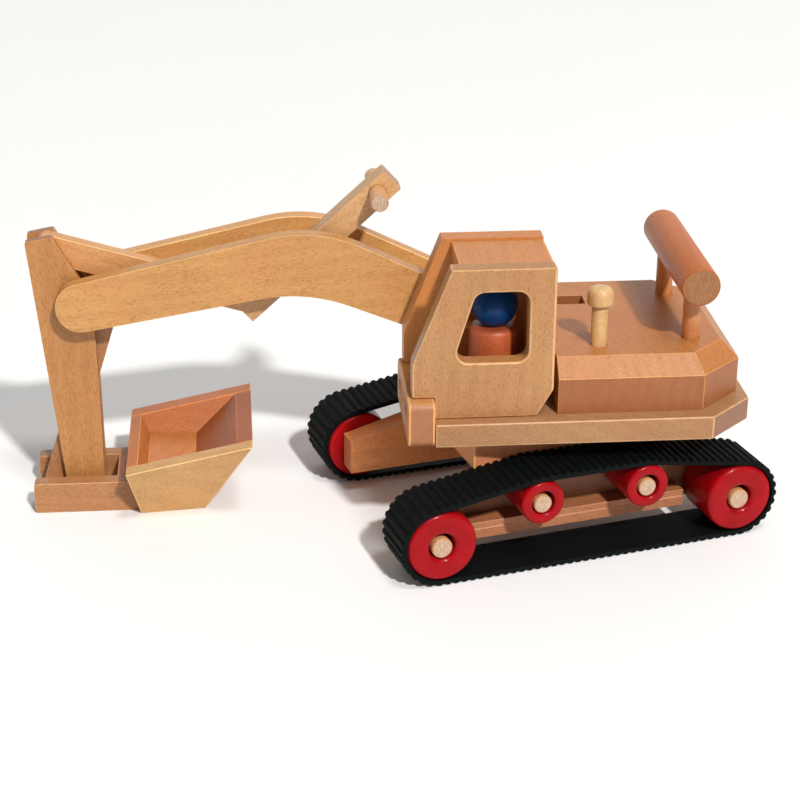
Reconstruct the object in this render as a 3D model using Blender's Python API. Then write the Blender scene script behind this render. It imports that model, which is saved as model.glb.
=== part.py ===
"""Wooden toy excavator with rubber track belts.

Sizes are in metres and +Z is up. The machine faces -X, with its boom out in front of it.
The upper body is drawn in its own frame: x runs from the base board's front edge to the rear,
y from its left edge to the right, and z = 0 is the base board's top face. The undercarriage is
drawn about the swing axis, with z = 0 on the ground and x along the tracks. The whole machine
is moved at the end, so that the origin is the middle of its footprint, on the ground.
"""
import math

import bmesh
import bpy
from mathutils import Matrix, Vector

GAP = 0.0003
SEGMENTS_DOWEL = 20
SEGMENTS_WHEEL = 36
ARC_STEP = math.radians(11)
ARC_CHORD = 0.0080

# Board thicknesses and dowel radii
THICK_BOARD = 0.0165
CAB_BOARD = 0.0140
BOOM_BOARD = 0.0120
STICK_BOARD = 0.0067
RUNNING_FIT = 0.0005

# Upper body
BASE_LENGTH = 0.2215
BASE_WIDTH = 0.1940
BASE_CORNER = 0.0315
BASE_TOP_ABOVE_GROUND = 0.1033
SWING_X = 0.0830
SWING_Y = BASE_WIDTH / 2

DECK_FRONT = 0.0845
DECK_REAR = 0.2153
DECK_LEFT = 0.0127
DECK_RIGHT = 0.1815
DECK_HEIGHT = 0.0374
DECK_CORNER = 0.0305
DECK_BEVEL = 0.0121

CAB_LEFT = 0.0099
CAB_RIGHT = 0.0882
CAB_HEIGHT = 0.1065
CAB_REAR = 0.0808

FRONT_BOARD_DEPTH = 0.0182
FRONT_BOARD_WIDTH = 0.0880
FRONT_BOARD_TOP = 0.0153

HANDLE_X = 0.1828
HANDLE_Z = 0.0818
HANDLE_ENDS = (0.0315, 0.1619)
HANDLE_RADIUS = 0.0134
POST_Y = (0.0541, 0.1424)
POST_RADIUS = 0.0061

PEG_X = 0.1168
PEG_Y = 0.0454
PEG_RADIUS = 0.00565
PEG_HEAD_RADIUS = 0.0092
PEG_NECK = DECK_HEIGHT + 0.0294

DRIVER_X = 0.0443
DRIVER_Y = 0.0490
DRIVER_RADIUS = 0.0170
DRIVER_HEIGHT = 0.0534
DRIVER_SEAT = 0.0060
HEAD_RADIUS = 0.0161
HEAD_ABOVE_BODY = 0.0143

# Arm: the planes of its boards, and its pivots as (x, z)
ARM_Y = 0.1260
BOOM_INNER = 0.0150
ROD_HALF = 0.0055
LEVER_HALF = 0.0090
PIVOT_BOOM = (0.0420, 0.0310)
PIVOT_LEVER = (-0.0852, 0.0768)
PIVOT_ROD_REAR = (-0.1177, 0.0472)
PIVOT_ROD_FRONT = (-0.2620, 0.0905)
PIVOT_STICK = (-0.2460, 0.0530)
PIVOT_LINK_TOP = (-0.2224, 0.0490)
PIVOT_BUCKET = (-0.2460, -0.0920)
PIVOT_LINK_FOOT = (-0.2679, -0.0920)
PIN_RADIUS = 0.0050
SMALL_PIN_RADIUS = 0.0040
BOOM_PIN_RADIUS = 0.0062
ROD_OPEN_HOLE = 0.0072
LINK_OPEN_HOLE = 0.0067
COVER = 0.0030
THIN_COVER = 0.0020
FOOT_COVER = 0.0012

LEVER_TOP = (-0.0202, 0.13605)
LEVER_DOWN = (-0.739, -0.673)
LEVER_LENGTH = 0.1430
LEVER_GRIP_AT = 0.0140
LEVER_FORK_AT = 0.1160
LEVER_GRIP_ENDS = (0.0940, 0.1580)

# Bucket, standing on the ground: corners of its side view as (x, z)
GROUND = -BASE_TOP_ABOVE_GROUND
BUCKET_BACK_FOOT = (-0.2050, GROUND)
BUCKET_FRONT_FOOT = (-0.1580, GROUND)
BUCKET_FRONT_RIM = (-0.1225, -0.0430)
BUCKET_BACK_RIM = (-0.2135, -0.0620)
BUCKET_FOOT_HALF = 0.0360
BUCKET_FLARE_UP = 0.5224
BUCKET_FLARE_BACK = 0.1090
SIDE_CUT = 0.0136
BACK_CUT = 0.0080
FRONT_CUT = 0.0115
FLOOR_TOP = GROUND + 0.0315
FLOOR_BACK = -0.2000
FLOOR_FRONT = -0.1640
STRIP_OUTER = 0.0300
STRIP_THICKNESS = 0.0120
STRIP_FRONT = -0.2815
STRIP_TOP = -0.0804

# Undercarriage, about the swing axis
TRACK_YAW = math.radians(14.87)
BIG_WHEEL_X = 0.1120
BIG_WHEEL_Z = 0.0292
BIG_WHEEL_RADIUS = 0.0250
BIG_AXLE_RADIUS = 0.00725
SMALL_WHEEL_X = 0.0392
SMALL_WHEEL_Z = 0.0503
SMALL_WHEEL_RADIUS = 0.0158
SMALL_AXLE_RADIUS = 0.0065
WHEEL_PLAY = 0.0020
AXLE_DROP = 0.0012
TRACK_INNER = 0.0654
TRACK_OUTER = 0.1068
AXLE_END = 0.1056
BELT_THICKNESS = 0.0039
BEAM_INNER = 0.0473
BEAM_OUTER = 0.0648
BEAM_END = 0.1254
BEAM_BOTTOM = 0.0165
BEAM_END_TOP = 0.0415
BEAM_CROWN_X = 0.0434
PLATE_BOTTOM = 0.0620
PLATE_TOP = 0.0800
PLATE_HALF_LENGTH = 0.0740
PLATE_HALF_WIDTH = 0.0650
HUB_RADIUS = 0.0400
SPIGOT_RADIUS = 0.0080
RAIL_HALF_LENGTH = 0.0812
RAIL_OUTER = 0.0800
RAIL_BOTTOM = 0.0170
RAIL_TOP = 0.0290

BEECH = ((0.62, 0.36, 0.17), 0.55)
BEECH_DARK = ((0.50, 0.26, 0.12), 0.55)
DOWEL_WOOD = ((0.70, 0.47, 0.26), 0.60)
RED_LACQUER = ((0.62, 0.02, 0.03), 0.22)
BLUE_LACQUER = ((0.01, 0.07, 0.25), 0.25)
BLACK_RUBBER = ((0.018, 0.018, 0.020), 0.65)


def clear_scene():
    for thing in list(bpy.data.objects):
        bpy.data.objects.remove(thing, do_unlink=True)


def empty(name, location=(0, 0, 0), parent=None, yaw=0.0):
    holder = bpy.data.objects.new(name, None)
    holder.location = location
    holder.rotation_euler = (0, 0, yaw)
    holder.parent = parent
    bpy.context.scene.collection.objects.link(holder)
    return holder


def material(name, look):
    colour, roughness = look
    made = bpy.data.materials.new(name)
    made.use_nodes = True
    surface = made.node_tree.nodes["Principled BSDF"]
    surface.inputs["Base Color"].default_value = (*colour, 1)
    surface.inputs["Roughness"].default_value = roughness
    surface.inputs["Metallic"].default_value = 0.0
    return made


# ---------------------------------------------------------------- outlines

def corner_arc(corner, before, after, radius):
    """Points of the arc that rounds a corner between its two neighbours."""
    to_before = (before - corner).normalized()
    to_after = (after - corner).normalized()
    half = to_before.angle(to_after) / 2
    centre = corner + (to_before + to_after).normalized() * radius / math.sin(half)
    first = corner + to_before * radius / math.tan(half) - centre
    last = corner + to_after * radius / math.tan(half) - centre
    start = math.atan2(first.y, first.x)
    turn = (math.atan2(last.y, last.x) - start + math.pi) % math.tau - math.pi
    steps = max(2, math.ceil(abs(turn) / ARC_STEP), math.ceil(abs(turn) * radius / ARC_CHORD))
    angles = [start + turn * step / steps for step in range(steps + 1)]
    return [centre + radius * Vector((math.cos(angle), math.sin(angle))) for angle in angles]


def rounded(corners):
    """Closed outline from corners given as (u, v) or (u, v, radius)."""
    points = []
    spots = [Vector(corner[:2]) for corner in corners]
    for index, corner in enumerate(corners):
        if len(corner) < 3:
            points.append(spots[index])
            continue
        after = spots[(index + 1) % len(spots)]
        points += corner_arc(spots[index], spots[index - 1], after, corner[2])
    return points


def bar_outline(start, end, half_width, radius):
    """Outline of a straight bar whose ends run a half width past two pivots."""
    first = Vector(start)
    last = Vector(end)
    along = (last - first).normalized()
    across = Vector((-along.y, along.x)) * half_width
    first = first - along * half_width
    last = last + along * half_width
    spots = (first + across, first - across, last - across, last + across)
    return rounded([(spot.x, spot.y, radius) for spot in spots])


def wheel_hull(wheels, clearance):
    """Outline around wheels given as (x, z, radius) in counter-clockwise order."""
    points = []
    normals = []
    for index, (x, z, radius) in enumerate(wheels):
        next_x, next_z, next_radius = wheels[(index + 1) % len(wheels)]
        heading = math.atan2(next_z - z, next_x - x)
        distance = math.hypot(next_x - x, next_z - z)
        normals.append(heading - math.acos((radius - next_radius) / distance))
    for index, (x, z, radius) in enumerate(wheels):
        start = normals[index - 1]
        turn = (normals[index] - start) % math.tau
        steps = max(2, math.ceil(turn / ARC_STEP))
        for step in range(steps + 1):
            angle = start + turn * step / steps
            reach = radius + clearance
            points.append(Vector((x + reach * math.cos(angle), z + reach * math.sin(angle))))
    return points


def cut_corners(front, rear, left, right, leg):
    """Plan outline of a board with both rear corners cut off at 45 degrees."""
    return [
        (front, left),
        (rear - leg, left),
        (rear, left + leg),
        (rear, right - leg),
        (rear - leg, right),
        (front, right),
    ]


# ------------------------------------------------------------------ solids

def loft(rings):
    """Closed solid through rings of points, with a flat face over each end."""
    solid = bmesh.new()
    rows = [[solid.verts.new(point) for point in ring] for ring in rings]
    count = len(rows[0])
    for lower, upper in zip(rows, rows[1:]):
        for index in range(count):
            after = (index + 1) % count
            solid.faces.new((lower[index], lower[after], upper[after], upper[index]))
    solid.faces.new(rows[0])
    solid.faces.new(rows[-1])
    return solid


def swept_y(outline, low, high):
    return loft([[(u, y, v) for u, v in outline] for y in (low, high)])


def swept_z(outline, low, high):
    return loft([[(u, v, z) for u, v in outline] for z in (low, high)])


def swept_x(outline, low, high):
    return loft([[(x, u, v) for u, v in outline] for x in (low, high)])


def block(x_span, y_span, z_span):
    (left, right), (low, high) = x_span, y_span
    outline = [(left, low), (right, low), (right, high), (left, high)]
    return swept_z(outline, *z_span)


def turned(profile, segments):
    """Solid turned about Z from (radius, height) points.

    A profile that starts and ends on the axis makes a solid, any other makes a tube.
    """
    solid = bmesh.new()
    angles = [math.tau * step / segments for step in range(segments)]
    rows = []
    for radius, height in profile:
        if radius == 0:
            rows.append([solid.verts.new((0, 0, height))] * segments)
            continue
        ring = [(radius * math.cos(angle), radius * math.sin(angle), height) for angle in angles]
        rows.append([solid.verts.new(point) for point in ring])
    pairs = list(zip(rows, rows[1:]))
    if profile[0][0] > 0:
        pairs.append((rows[-1], rows[0]))
    for lower, upper in pairs:
        for index in range(segments):
            after = (index + 1) % segments
            corners = (lower[index], lower[after], upper[after], upper[index])
            solid.faces.new(list(dict.fromkeys(corners)))
    return solid


def round_bar(radius, low, high, segments=SEGMENTS_DOWEL):
    angles = [math.tau * step / segments for step in range(segments)]
    return swept_z([(radius * math.cos(a), radius * math.sin(a)) for a in angles], low, high)


def moved(solid, location, along="Z"):
    """Turns a solid made about Z to lie along X, Y or Z, and moves it."""
    turns = {
        "X": Matrix.Rotation(math.pi / 2, 4, "Y"),
        "Y": Matrix.Rotation(-math.pi / 2, 4, "X"),
        "Z": Matrix.Identity(4),
    }
    bmesh.ops.transform(solid, matrix=Matrix.Translation(location) @ turns[along], verts=solid.verts)
    return solid


def pin_y(pivot, radius, low, high):
    return moved(round_bar(radius, low, high), (pivot[0], 0, pivot[1]), "Y")


def wheel(radius, bore, low, high, edge=0.0030):
    """Roller about Z with a bore and rounded rims."""
    def rim(height, start):
        angles = [start + math.pi / 4 * step for step in range(3)]
        return [
            (radius - edge + edge * math.cos(a), height + edge * math.sin(a)) for a in angles
        ]
    profile = [(bore, low)]
    profile += rim(low + edge, -math.pi / 2)
    profile += rim(high - edge, 0)
    profile.append((bore, high))
    return turned(profile, SEGMENTS_WHEEL)


def band(inner, outer, low, high):
    """Endless belt between two outlines with equal numbers of points."""
    solid = bmesh.new()
    count = len(inner)
    rows = []
    for outline, y in ((inner, low), (outer, low), (outer, high), (inner, high)):
        rows.append([solid.verts.new((u, y, v)) for u, v in outline])
    for lower, upper in zip(rows, rows[1:] + rows[:1]):
        for index in range(count):
            after = (index + 1) % count
            solid.faces.new((lower[index], lower[after], upper[after], upper[index]))
    return solid


# ------------------------------------------------------------------ pieces

def to_mesh(name, solid, pivot):
    bmesh.ops.translate(solid, vec=-Vector(pivot), verts=solid.verts)
    bmesh.ops.recalc_face_normals(solid, faces=solid.faces)
    mesh = bpy.data.meshes.new(name)
    solid.to_mesh(mesh)
    solid.free()
    return mesh


def piece(name, solid, frame, look, pivot=(0, 0, 0), smooth=False):
    """Makes a named object whose origin lies at the pivot, in its frame's coordinates."""
    mesh = to_mesh(name, solid, pivot)
    if smooth:
        mesh.shade_smooth()
        mesh.set_sharp_from_angle(angle=math.radians(35))
    made = bpy.data.objects.new(name, mesh)
    made.location = pivot
    made.parent = frame
    made.data.materials.append(material(name, look))
    bpy.context.scene.collection.objects.link(made)
    return made


def cut(board, cutters):
    """Removes the cutters, drawn in the same frame as the board, from it."""
    for number, solid in enumerate(cutters):
        name = f"{board.name}_cut_{number}"
        tool = bpy.data.objects.new(name, to_mesh(name, solid, board.location))
        tool.parent = board
        tool.hide_render = True
        tool.display_type = "WIRE"
        bpy.context.scene.collection.objects.link(tool)
        removal = board.modifiers.new(name, "BOOLEAN")
        removal.operation = "DIFFERENCE"
        removal.solver = "EXACT"
        removal.object = tool
    return board


def at(pivot, y=ARM_Y):
    return (pivot[0], y, pivot[1])


# ----------------------------------------------------------- undercarriage

def make_belt(name, side, frame):
    wheels = [
        (BIG_WHEEL_X, BIG_WHEEL_Z, BIG_WHEEL_RADIUS),
        (SMALL_WHEEL_X, SMALL_WHEEL_Z, SMALL_WHEEL_RADIUS),
        (-SMALL_WHEEL_X, SMALL_WHEEL_Z, SMALL_WHEEL_RADIUS),
        (-BIG_WHEEL_X, BIG_WHEEL_Z, BIG_WHEEL_RADIUS),
    ]
    inner = wheel_hull(wheels, GAP)
    outer = wheel_hull(wheels, GAP + BELT_THICKNESS)
    low, high = sorted((side * TRACK_INNER, side * TRACK_OUTER))
    piece(name, band(inner, outer, low, high), frame, BLACK_RUBBER)


def make_wheel(name, x, z, radius, axle_radius, side, frame):
    low, high = sorted((side * TRACK_INNER, side * TRACK_OUTER))
    solid = moved(wheel(radius, axle_radius + WHEEL_PLAY, low, high), (x, 0, z), "Y")
    piece(name, solid, frame, RED_LACQUER, (x, side * TRACK_INNER, z), smooth=True)


def make_axle(name, x, z, radius, y_span, frame):
    """Axle dowel: the wheels hang on it loosely, so it lies a little below their middles."""
    middle = (x, 0, z - AXLE_DROP)
    solid = moved(round_bar(radius, *y_span), middle, "Y")
    piece(name, solid, frame, DOWEL_WOOD, middle, smooth=True)


def make_beam(name, side, frame):
    outline = [
        (-BEAM_END, BEAM_BOTTOM),
        (BEAM_END, BEAM_BOTTOM),
        (BEAM_END, BEAM_END_TOP),
        (BEAM_CROWN_X, PLATE_BOTTOM - GAP),
        (-BEAM_CROWN_X, PLATE_BOTTOM - GAP),
        (-BEAM_END, BEAM_END_TOP),
    ]
    low, high = sorted((side * BEAM_INNER, side * BEAM_OUTER))
    beam = piece(name, swept_y(outline, low, high), frame, BEECH)
    blind = sorted((side * (BEAM_INNER + COVER - GAP), side * (BEAM_OUTER + 0.01)))
    holes = []
    for sign in (-1, 1):
        stub = (sign * BIG_WHEEL_X, BIG_WHEEL_Z - AXLE_DROP)
        through = (sign * SMALL_WHEEL_X, SMALL_WHEEL_Z - AXLE_DROP)
        holes.append(pin_y(stub, BIG_AXLE_RADIUS + GAP, *blind))
        holes.append(pin_y(through, SMALL_AXLE_RADIUS + GAP, low - 0.01, high + 0.01))
    cut(beam, holes)


def make_rail(name, side, frame):
    """Guide board between the big wheels, with a shallow groove along its outer face."""
    groove = RAIL_BOTTOM + 0.0074
    depth = RAIL_OUTER - 0.0008
    outline = [
        (side * (BEAM_OUTER + GAP), RAIL_BOTTOM),
        (side * RAIL_OUTER, RAIL_BOTTOM),
        (side * RAIL_OUTER, groove - 0.0005),
        (side * depth, groove),
        (side * RAIL_OUTER, groove + 0.0005),
        (side * RAIL_OUTER, RAIL_TOP),
        (side * (BEAM_OUTER + GAP), RAIL_TOP),
    ]
    piece(name, swept_x(outline, -RAIL_HALF_LENGTH, RAIL_HALF_LENGTH), frame, BEECH)


def make_undercarriage(frame):
    for place, side in (("near", -1), ("far", 1)):
        make_beam(f"beam_{place}", side, frame)
        make_rail(f"guide_rail_{place}", side, frame)
        make_belt(f"track_belt_{place}", side, frame)
        for end, sign in (("front", -1), ("rear", 1)):
            make_wheel(f"wheel_{place}_{end}", sign * BIG_WHEEL_X, BIG_WHEEL_Z,
                       BIG_WHEEL_RADIUS, BIG_AXLE_RADIUS, side, frame)
            make_wheel(f"roller_{place}_{end}", sign * SMALL_WHEEL_X, SMALL_WHEEL_Z,
                       SMALL_WHEEL_RADIUS, SMALL_AXLE_RADIUS, side, frame)
            stub = sorted((side * (BEAM_INNER + COVER), side * AXLE_END))
            make_axle(f"wheel_axle_{place}_{end}", sign * BIG_WHEEL_X, BIG_WHEEL_Z,
                      BIG_AXLE_RADIUS, stub, frame)
    for end, sign in (("front", -1), ("rear", 1)):
        make_axle(f"roller_axle_{end}", sign * SMALL_WHEEL_X, SMALL_WHEEL_Z,
                  SMALL_AXLE_RADIUS, (-AXLE_END, AXLE_END), frame)
    plate = piece("undercarriage_plate", block((-PLATE_HALF_LENGTH, PLATE_HALF_LENGTH),
                  (-PLATE_HALF_WIDTH, PLATE_HALF_WIDTH), (PLATE_BOTTOM, PLATE_TOP)), frame, BEECH)
    cut(plate, [round_bar(SPIGOT_RADIUS + GAP, 0.0, 0.1)])
    make_hub(frame)


def make_hub(frame):
    """Turned disc that the upper body stands on, with a spigot up and down."""
    disc_low = PLATE_TOP + GAP
    disc_high = BASE_TOP_ABOVE_GROUND - THICK_BOARD - GAP
    spigot_high = BASE_TOP_ABOVE_GROUND - 0.0050
    profile = [
        (0, PLATE_BOTTOM + 0.0020),
        (SPIGOT_RADIUS, PLATE_BOTTOM + 0.0020),
        (SPIGOT_RADIUS, disc_low),
        (HUB_RADIUS, disc_low),
        (HUB_RADIUS, disc_high),
        (SPIGOT_RADIUS, disc_high),
        (SPIGOT_RADIUS, spigot_high),
        (0, spigot_high),
    ]
    piece("turntable_hub", turned(profile, SEGMENTS_WHEEL), frame, BEECH, smooth=True)


# -------------------------------------------------------------- upper body

def make_base(frame):
    outline = cut_corners(0, BASE_LENGTH, 0, BASE_WIDTH, BASE_CORNER)
    base = piece("base_board", swept_z(outline, -THICK_BOARD, 0), frame, BEECH)
    swing = moved(round_bar(SPIGOT_RADIUS + RUNNING_FIT, -0.0300, -0.0045), (SWING_X, SWING_Y, 0))
    seat = moved(round_bar(DRIVER_RADIUS + RUNNING_FIT, -DRIVER_SEAT, 0.0100), (DRIVER_X, DRIVER_Y, 0))
    cut(base, [swing, seat, peg_hole()])


def peg_hole():
    return moved(round_bar(PEG_RADIUS + RUNNING_FIT, -0.0300, 0.0600), (PEG_X, PEG_Y, 0))


def deck_ring(inset, height):
    leg = DECK_CORNER - inset * (2 - math.sqrt(2))
    outline = cut_corners(DECK_FRONT, DECK_REAR - inset, DECK_LEFT + inset, DECK_RIGHT - inset, leg)
    return [(x, y, height) for x, y in outline]


def make_deck(frame):
    """Engine deck block with a 45 degree bevel, a slot for the mast and three holes."""
    solid = loft([
        deck_ring(0, GAP),
        deck_ring(0, DECK_HEIGHT - DECK_BEVEL),
        deck_ring(DECK_BEVEL, DECK_HEIGHT),
    ])
    deck = piece("deck_block", solid, frame, BEECH)
    slot = block((DECK_FRONT - 0.0100, 0.1215), (0.1237, 0.1408), (-0.0100, 0.0600))
    holes = [slot, peg_hole()]
    for y in POST_Y:
        holes.append(moved(round_bar(POST_RADIUS + GAP, DECK_HEIGHT - 0.0150, 0.0600), (HANDLE_X, y, 0)))
    cut(deck, holes)


def cab_side_outline():
    """Side view of a cab panel: leaning front, notch over the front board, cut rear foot."""
    return [
        (0.0105, CAB_HEIGHT),
        (-0.0154, 0.0399),
        (-0.0154, 0.0158),
        (0.0, 0.0158),
        (0.0, GAP),
        (0.0698, GAP),
        (CAB_REAR, 0.0193),
        (CAB_REAR, CAB_HEIGHT),
    ]


def window_outline():
    return rounded([
        (0.0270, 0.0902, 0.0080),
        (0.0120, 0.0403, 0.0080),
        (0.0630, 0.0403, 0.0080),
        (0.0628, 0.0902, 0.0080),
    ])


def make_cab(frame):
    inner_left = CAB_LEFT + CAB_BOARD
    inner_right = CAB_RIGHT - CAB_BOARD
    for place, low, high in (("near", CAB_LEFT, inner_left), ("far", inner_right, CAB_RIGHT)):
        panel = piece(f"cab_side_{place}", swept_y(cab_side_outline(), low, high), frame, BEECH)
        cut(panel, [swept_y(window_outline(), low - 0.01, high + 0.01)])
    between = (inner_left + GAP, inner_right - GAP)
    roof_bottom = CAB_HEIGHT - 0.0015 - 0.0120
    roof = block((0.0170, CAB_REAR), between, (roof_bottom, CAB_HEIGHT - 0.0015))
    piece("cab_roof", roof, frame, BEECH)
    inside = CAB_REAR - 0.0118
    back_outline = [
        (inside, GAP),
        (0.0698, GAP),
        (CAB_REAR, 0.0193),
        (CAB_REAR, roof_bottom - GAP),
        (inside, roof_bottom - GAP),
    ]
    piece("cab_back", swept_y(back_outline, *between), frame, BEECH)


def make_front_board(frame):
    """Board with rounded edges across the front of the base."""
    corner = 0.0050
    outline = rounded([
        (0, -THICK_BOARD, corner),
        (FRONT_BOARD_WIDTH, -THICK_BOARD, corner),
        (FRONT_BOARD_WIDTH, FRONT_BOARD_TOP, corner),
        (0, FRONT_BOARD_TOP, corner),
    ])
    piece("front_board", swept_x(outline, -GAP - FRONT_BOARD_DEPTH, -GAP), frame, BEECH)


def make_rear_handle(frame):
    bar = moved(round_bar(HANDLE_RADIUS, *HANDLE_ENDS, SEGMENTS_WHEEL), (HANDLE_X, 0, HANDLE_Z), "Y")
    handle = piece("handle_bar", bar, frame, BEECH, smooth=True)
    sockets = []
    for place, y in zip(("near", "far"), POST_Y):
        low = DECK_HEIGHT - 0.0150 + GAP
        high = HANDLE_Z + 0.0030
        post = moved(round_bar(POST_RADIUS, low, high), (HANDLE_X, y, 0))
        piece(f"handle_post_{place}", post, frame, DOWEL_WOOD, smooth=True)
        sockets.append(moved(round_bar(POST_RADIUS + GAP, low, high + GAP), (HANDLE_X, y, 0)))
    cut(handle, sockets)


def make_peg(frame):
    """Lock peg with a mushroom head, standing in a hole through the deck and the base."""
    bottom = -THICK_BOARD + 0.0015
    neck = PEG_NECK
    crown = neck + 0.0130
    edge = 0.0040
    head = []
    for step in range(5):
        angle = math.pi / 2 * step / 4
        head.append((PEG_HEAD_RADIUS - edge + edge * math.cos(angle), crown - edge + edge * math.sin(angle)))
    profile = [(0, bottom), (PEG_RADIUS, bottom), (PEG_RADIUS, neck), (PEG_HEAD_RADIUS - 0.0012, neck)]
    profile.append((PEG_HEAD_RADIUS, neck + 0.0020))
    profile += head
    profile.append((0, crown))
    solid = moved(turned(profile, SEGMENTS_DOWEL), (PEG_X, PEG_Y, 0))
    piece("lock_peg", solid, frame, DOWEL_WOOD, (PEG_X, PEG_Y, 0), smooth=True)


def make_driver(frame):
    """Peg figure: a turned body with a ball for a head, which has a small flat to stand on."""
    bottom = -DRIVER_SEAT + GAP
    edge = 0.0034
    slope = edge * 0.3
    body = [
        (0, bottom),
        (DRIVER_RADIUS, bottom),
        (DRIVER_RADIUS, DRIVER_HEIGHT - edge),
        (DRIVER_RADIUS - slope, DRIVER_HEIGHT - slope),
        (DRIVER_RADIUS - edge, DRIVER_HEIGHT),
        (0, DRIVER_HEIGHT),
    ]
    seat = (DRIVER_X, DRIVER_Y, 0)
    piece("driver_body", moved(turned(body, SEGMENTS_WHEEL), seat), frame, BEECH, seat, smooth=True)
    flat = math.asin(HEAD_ABOVE_BODY / HEAD_RADIUS)
    centre = DRIVER_HEIGHT + GAP + HEAD_ABOVE_BODY
    steps = 10
    ball = [(0, DRIVER_HEIGHT + GAP)]
    for step in range(steps):
        angle = -flat + (flat + math.pi / 2) * step / steps
        ball.append((HEAD_RADIUS * math.cos(angle), centre + HEAD_RADIUS * math.sin(angle)))
    ball.append((0, centre + HEAD_RADIUS))
    head = moved(turned(ball, SEGMENTS_WHEEL), seat)
    piece("driver_head", head, frame, BLUE_LACQUER, seat, smooth=True)


def make_mast(frame):
    """Upright board between the boom plates, which carries the boom's pivot dowel."""
    outline = rounded([
        (0.0220, 0.0520, 0.0180),
        (0.0220, GAP),
        (0.1000, GAP),
        (0.1000, 0.0300, 0.0060),
        (0.0760, 0.0320, 0.0200),
        (0.0600, 0.0520, 0.0160),
    ])
    mast = piece("mast_board", swept_y(outline, 0.1240, 0.1240 + THICK_BOARD), frame, BEECH)
    low = ARM_Y - BOOM_INNER - BOOM_BOARD + COVER
    high = ARM_Y + BOOM_INNER + BOOM_BOARD - COVER
    cut(mast, [pin_y(PIVOT_BOOM, BOOM_PIN_RADIUS + GAP, low, high)])
    pin = pin_y(PIVOT_BOOM, BOOM_PIN_RADIUS, low, high)
    piece("boom_pivot_dowel", pin, frame, DOWEL_WOOD, at(PIVOT_BOOM), smooth=True)


# --------------------------------------------------------------------- arm

def boom_outline():
    return rounded([
        (-0.2605, 0.0670, 0.0172),
        (-0.2538, 0.0328, 0.0172),
        (-0.0825, 0.0622, 0.1160),
        (0.0533, 0.0071, 0.0170),
        (0.0677, 0.0396, 0.0170),
        (-0.0745, 0.1086, 0.1000),
    ])


def make_boom(frame):
    """Two equal plates, with the dowels that they hold in blind holes."""
    low = ARM_Y - BOOM_INNER - BOOM_BOARD
    high = ARM_Y + BOOM_INNER + BOOM_BOARD
    pins = (
        ("stick_dowel", PIVOT_STICK, PIN_RADIUS),
        ("link_dowel", PIVOT_LINK_TOP, SMALL_PIN_RADIUS),
        ("lever_dowel", PIVOT_LEVER, PIN_RADIUS),
    )
    for place, start in (("near", low), ("far", high - BOOM_BOARD)):
        plate = piece(f"boom_plate_{place}", swept_y(boom_outline(), start, start + BOOM_BOARD),
                      frame, BEECH, at(PIVOT_BOOM))
        blind = (low + COVER - GAP, high - COVER + GAP)
        holes = [pin_y(PIVOT_BOOM, BOOM_PIN_RADIUS + RUNNING_FIT, *blind)]
        for name, pivot, radius in pins:
            holes.append(pin_y(pivot, radius + GAP, *blind))
        cut(plate, holes)
    for name, pivot, radius in pins:
        pin = pin_y(pivot, radius, low + COVER, high - COVER)
        piece(name, pin, frame, DOWEL_WOOD, at(PIVOT_BOOM), smooth=True)


def along_lever(distance):
    direction = Vector(LEVER_DOWN).normalized()
    return Vector(LEVER_TOP) + direction * distance


def make_lever(frame):
    """Square hand lever, forked at its lower end, with a cross dowel to hold near its top."""
    direction = Vector(LEVER_DOWN).normalized()
    across = Vector((-direction.y, direction.x)) * LEVER_HALF
    top = along_lever(0)
    foot = along_lever(LEVER_LENGTH)
    corners = (top + across, top - across, foot - across, foot + across)
    pivot = at(PIVOT_LEVER)
    solid = swept_y(corners, ARM_Y - LEVER_HALF, ARM_Y + LEVER_HALF)
    bar = piece("lever_bar", solid, frame, BEECH, pivot)
    fork = along_lever(LEVER_FORK_AT)
    past = along_lever(LEVER_LENGTH + 0.01)
    wide = across * 1.5
    slot = swept_y((fork + wide, fork - wide, past - wide, past + wide),
                   ARM_Y - ROD_HALF - RUNNING_FIT, ARM_Y + ROD_HALF + RUNNING_FIT)
    grip = tuple(along_lever(LEVER_GRIP_AT))
    grip_radius = BOOM_PIN_RADIUS
    low = ARM_Y - BOOM_INNER
    high = ARM_Y + BOOM_INNER
    foot_low = ARM_Y - LEVER_HALF + FOOT_COVER
    foot_high = ARM_Y + LEVER_HALF - FOOT_COVER
    cut(bar, [
        slot,
        pin_y(PIVOT_LEVER, PIN_RADIUS + RUNNING_FIT, low, high),
        pin_y(PIVOT_ROD_REAR, SMALL_PIN_RADIUS + GAP, foot_low - GAP, foot_high + GAP),
        pin_y(grip, grip_radius + GAP, low, high),
    ])
    piece("lever_grip", pin_y(grip, grip_radius, *LEVER_GRIP_ENDS), frame, DOWEL_WOOD, pivot, smooth=True)
    rod_pin = pin_y(PIVOT_ROD_REAR, SMALL_PIN_RADIUS, foot_low, foot_high)
    piece("rod_dowel", rod_pin, frame, DOWEL_WOOD, pivot, smooth=True)


def make_rod(frame):
    """Connecting rod from the lever to the top of the stick."""
    low = ARM_Y - ROD_HALF
    high = ARM_Y + ROD_HALF
    outline = bar_outline(PIVOT_ROD_FRONT, PIVOT_ROD_REAR, 0.0100, 0.0096)
    rod = piece("connecting_rod", swept_y(outline, low, high), frame, BEECH, at(PIVOT_ROD_FRONT))
    cut(rod, [
        pin_y(PIVOT_ROD_FRONT, PIN_RADIUS + RUNNING_FIT, low - 0.01, high + 0.01),
        pin_y(PIVOT_ROD_REAR, ROD_OPEN_HOLE, low - 0.01, high + 0.01),
    ])


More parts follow.
